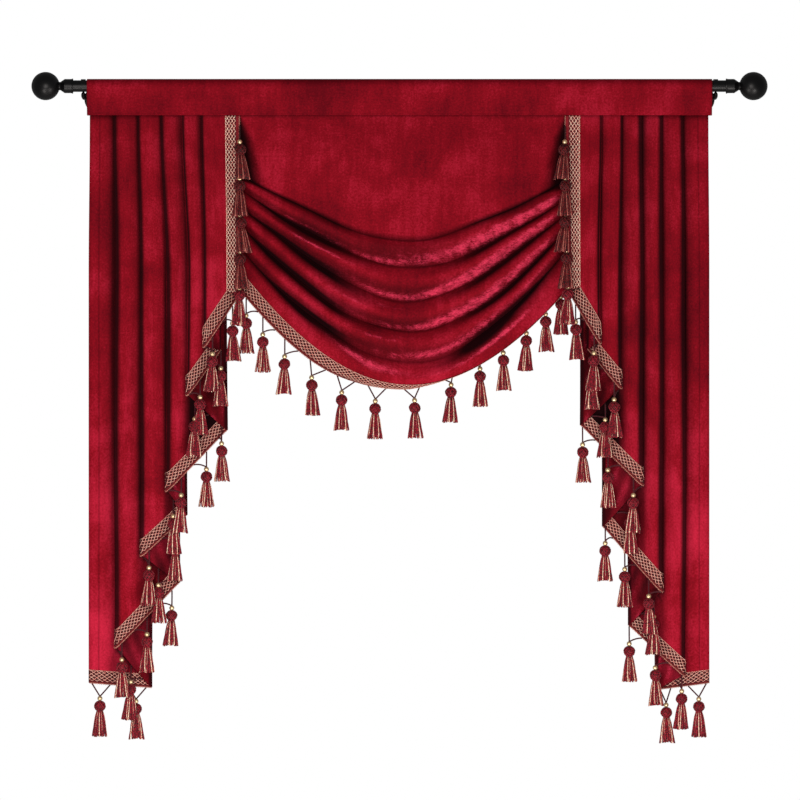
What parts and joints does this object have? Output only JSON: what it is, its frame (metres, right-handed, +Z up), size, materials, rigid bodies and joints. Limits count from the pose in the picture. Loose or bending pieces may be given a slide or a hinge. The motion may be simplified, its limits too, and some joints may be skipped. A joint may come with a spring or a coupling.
{
  "type": "swag valance on a curtain rod",
  "caption": "Window valance with a draped swag, pleated side tails and tasselled braid, hung by its rod pocket on a plain rod with ball ends and wall brackets.",
  "frame": {"origin": "on the wall plane, midway between the centres of the two wall plates", "axes": "+X to the viewer's right along the rod, +Z up, -Y out from the wall into the room"},
  "size_m": [1.7672, 0.1236, 1.6135],
  "materials": {
    "satin_black": "satin black paint on steel, small soft highlights",
    "chenille": "burgundy chenille velvet with a short pile, lighter where the pile is crushed",
    "tasselled_braid": "cream and gold lattice braid on burgundy tape, with burgundy and cream tassels under gold beads"
  },
  "bodies": {
    "root": {"rod": "satin_black", "finial_left": "satin_black", "finial_right": "satin_black", "bracket_left": "satin_black", "bracket_right": "satin_black", "rod_pocket": "chenille", "swag": "chenille", "tail_left": "chenille", "tail_right": "chenille", "trim_left": "tasselled_braid", "trim_right": "tasselled_braid", "trim_swag": "tasselled_braid"}
  },
  "joints": []
}
